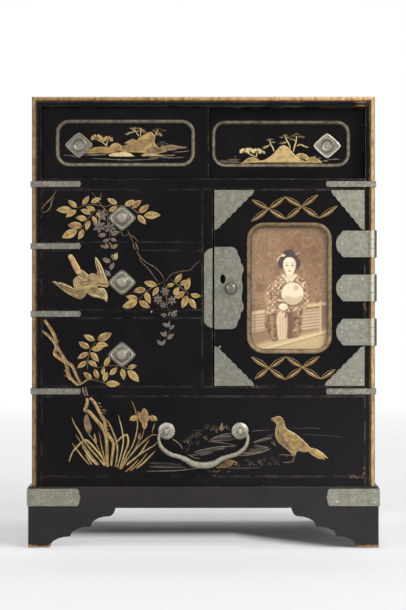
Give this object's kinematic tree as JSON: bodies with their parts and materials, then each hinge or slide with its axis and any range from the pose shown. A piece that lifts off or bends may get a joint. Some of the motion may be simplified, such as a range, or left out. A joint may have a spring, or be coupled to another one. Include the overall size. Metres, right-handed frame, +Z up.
{
  "type": "lacquer table cabinet",
  "caption": "Small lacquered table cabinet with sliding doors, drawers, a hinged door with a glazed picture and a bracket-footed stand.",
  "frame": {"origin": "centre of the footprint of the whole object, on the surface it stands on", "axes": "+X to the right as seen from the front, +Y towards the back, +Z up"},
  "size_m": [0.2728, 0.1826, 0.349],
  "materials": {
    "lacquer": "polished black lacquer on wood, with sprinkled gold and mauve pictures",
    "drawer_wood": "plain wiped softwood",
    "dark_wood": "thin brown-black lacquer",
    "fittings": "silvered copper alloy, engraved and tarnished grey",
    "iron": "dark iron",
    "glass": "clear, bevelled edge",
    "card": "mounted sepia print"
  },
  "bodies": {
    "case": {"left_side": "lacquer", "right_side": "lacquer", "top_board": "lacquer", "upper_shelf": "lacquer", "lower_shelf": "lacquer", "bottom_board": "lacquer", "back_panel": "dark_wood", "centre_divider": "lacquer", "drawer_shelf_lower": "lacquer", "drawer_shelf_upper": "lacquer", "strap_upper_shelf_left": "fittings", "strap_upper_shelf_right": "fittings", "strap_drawer_shelf_upper_left": "fittings", "strap_drawer_shelf_lower_left": "fittings", "strap_lower_shelf_left": "fittings", "strap_lower_shelf_right": "fittings", "strike_plate": "fittings", "stand_front": "lacquer", "stand_back": "lacquer", "stand_left": "lacquer", "stand_right": "lacquer", "stand_mount_left": "fittings", "stand_mount_right": "fittings", "hinge_1_side_leaf": "fittings", "hinge_2_side_leaf": "fittings", "hinge_3_side_leaf": "fittings"},
    "left_sliding_door": {"left_sliding_door": "lacquer", "left_sliding_door_pull": "fittings"},
    "right_sliding_door": {"right_sliding_door": "lacquer", "right_sliding_door_pull": "fittings"},
    "drawer_1": {"drawer_1_front": "lacquer", "drawer_1_tray": "drawer_wood", "drawer_1_pull": "fittings"},
    "drawer_2": {"drawer_2_front": "lacquer", "drawer_2_tray": "drawer_wood", "drawer_2_pull": "fittings"},
    "drawer_3": {"drawer_3_front": "lacquer", "drawer_3_tray": "drawer_wood", "drawer_3_pull": "fittings"},
    "bottom_drawer": {"bottom_drawer_front": "lacquer", "bottom_drawer_tray": "drawer_wood", "handle_post_left": "fittings", "handle_post_right": "fittings"},
    "drop_handle": {"drop_handle": "fittings"},
    "door": {"door_panel": "lacquer", "picture_glass": "glass", "picture_card": "card", "picture_backboard": "dark_wood", "door_corner_top_left": "fittings", "door_corner_top_right": "fittings", "door_corner_bottom_left": "fittings", "door_corner_bottom_right": "fittings", "lock_plate": "fittings", "door_knob": "fittings", "lock_case": "iron", "hinge_1_door_leaf": "fittings", "hinge_2_door_leaf": "fittings", "hinge_3_door_leaf": "fittings"},
    "lock_bolt": {"lock_bolt": "iron"}
  },
  "joints": [
    {"name": "left_door_slide", "type": "slide", "parent": "case", "child": "left_sliding_door", "axis": [1, 0, 0], "range_m": [0, 0.121]},
    {"name": "right_door_slide", "type": "slide", "parent": "case", "child": "right_sliding_door", "axis": [-1, 0, 0], "range_m": [0, 0.121]},
    {"name": "drawer_1_slide", "type": "slide", "parent": "case", "child": "drawer_1", "axis": [0, -1, 0], "range_m": [0, 0.13]},
    {"name": "drawer_2_slide", "type": "slide", "parent": "case", "child": "drawer_2", "axis": [0, -1, 0], "range_m": [0, 0.13]},
    {"name": "drawer_3_slide", "type": "slide", "parent": "case", "child": "drawer_3", "axis": [0, -1, 0], "range_m": [0, 0.13]},
    {"name": "bottom_drawer_slide", "type": "slide", "parent": "case", "child": "bottom_drawer", "axis": [0, -1, 0], "range_m": [0, 0.13]},
    {"name": "handle_swing", "type": "hinge", "parent": "bottom_drawer", "child": "drop_handle", "pos_m": [0, -0.08875, 0.09], "axis": [-1, 0, 0], "range_deg": [-5, 170]},
    {"name": "door_hinge", "type": "hinge", "parent": "case", "child": "door", "pos_m": [0.1315, -0.08595, 0.20065], "axis": [0, 0, 1], "range_deg": [0, 240]},
    {"name": "lock_bolt_slide", "type": "slide", "parent": "door", "child": "lock_bolt", "axis": [-1, 0, 0], "range_m": [0, 0.004]}
  ]
}
